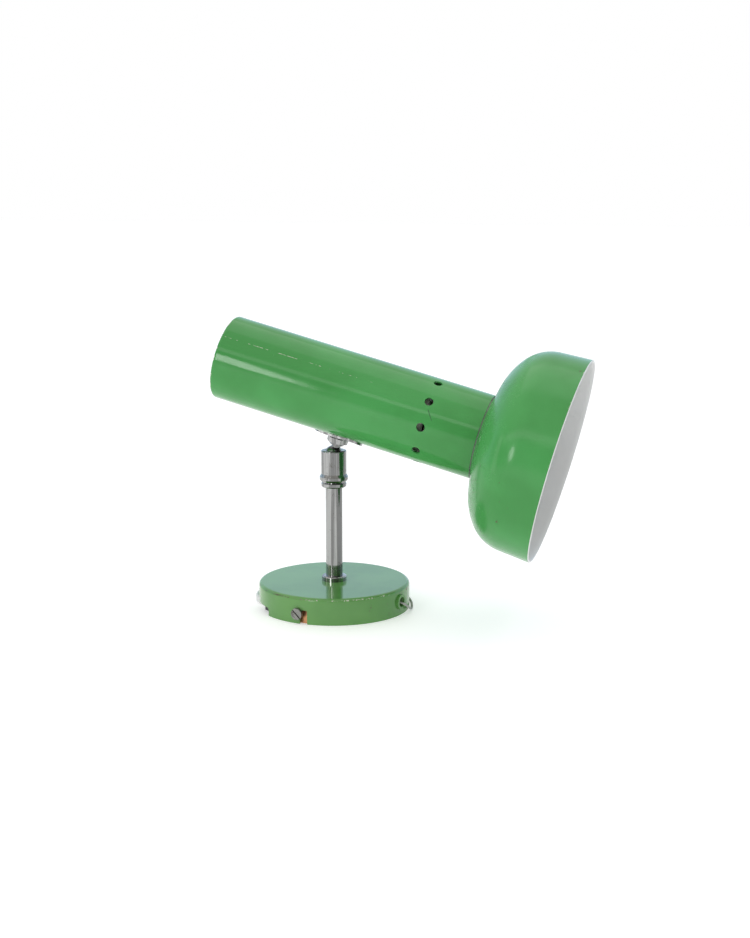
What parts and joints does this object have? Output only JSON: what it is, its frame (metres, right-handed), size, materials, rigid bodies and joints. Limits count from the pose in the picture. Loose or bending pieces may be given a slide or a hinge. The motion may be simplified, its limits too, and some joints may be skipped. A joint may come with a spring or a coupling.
{
  "type": "wall spot lamp",
  "caption": "Spot lamp with a tube head and mushroom shade on a short chrome post with a ball joint, standing on its round wall base with a pull switch.",
  "frame": {"origin": "middle of the two wall screws, in the plane that lies against the wall or table", "axes": "+Z out of the wall along the post, +X the way the head points at rest, +Y to the left of the head"},
  "size_m": [0.2228, 0.1206, 0.1715],
  "materials": {
    "green_enamel_on_steel": "gloss",
    "green_enamel_on_aluminium": "gloss",
    "copper_toned_steel": "satin",
    "zinc_steel": "satin",
    "chrome": "polished",
    "bare_aluminium": "satin",
    "brass": "satin",
    "porcelain": "gloss",
    "bulb_glass": "gloss",
    "bulb_cap_metal": "satin",
    "black_glass": "gloss",
    "tungsten": "satin",
    "beige_thermoset": "matte",
    "black_plastic": "matte",
    "lead_insulation": "matte",
    "white_flex": "matte",
    "white_plastic": "gloss",
    "string": "matte"
  },
  "bodies": {
    "base": {"base_cap": "green_enamel_on_steel", "wall_plate": "copper_toned_steel", "cap_screws": "zinc_steel", "post_tube": "chrome", "foot_collar": "chrome", "post_washer": "zinc_steel", "post_nut": "zinc_steel", "swivel_seat": "chrome", "seat_clip": "zinc_steel", "terminal_block": "beige_thermoset", "terminal_inserts": "brass", "terminal_screws": "brass", "block_screw": "zinc_steel", "flex_grip": "black_plastic", "supply_flex": "white_flex", "supply_cores": "lead_insulation", "base_leads": "lead_insulation", "switch_body": "black_plastic"},
    "pull": {"switch_plunger": "brass", "pull_string": "string", "pull_knob": "white_plastic"},
    "swivel": {"ball_housing": "chrome", "friction_cup": "brass", "spring_washer": "zinc_steel"},
    "ball": {"ball_stem": "chrome", "stem_nut": "chrome", "stem_washer": "zinc_steel", "stem_top_nut": "zinc_steel"},
    "head": {"saddle_plate": "chrome", "saddle_rivet": "chrome", "lamp_tube": "green_enamel_on_aluminium", "holder_bracket": "zinc_steel", "holder_nipple": "zinc_steel", "nipple_nut": "brass", "lampholder_body": "porcelain", "lampholder_shell": "brass", "lampholder_contact": "brass", "head_leads": "lead_insulation", "neck_ring": "bare_aluminium", "shade": "green_enamel_on_aluminium", "bulb_glass": "bulb_glass", "bulb_cap": "bulb_cap_metal", "bulb_insulator": "black_glass", "bulb_contact": "brass", "bulb_stem": "bulb_glass", "bulb_filament": "tungsten"}
  },
  "joints": [
    {"name": "head_swivel", "type": "hinge", "parent": "base", "child": "swivel", "pos_m": [0, 0, 0.0762], "axis": [0, 0, 1], "range_deg": [-170, 170]},
    {"name": "head_tilt", "type": "hinge", "parent": "swivel", "child": "ball", "pos_m": [0, 0, 0.0916], "axis": [0, 1, 0], "range_deg": [-44, 14]},
    {"name": "head_turn", "type": "hinge", "parent": "ball", "child": "head", "pos_m": [0, 0, 0.0916], "axis": [0.2588, 0, 0.9659], "range_deg": [-90, 90]},
    {"name": "switch_pull", "type": "slide", "parent": "base", "child": "pull", "axis": [0.9681, -0.2504, 0], "range_m": [0, 0.003], "stiffness_N_per_m": 300, "springref_m": -0.001}
  ]
}
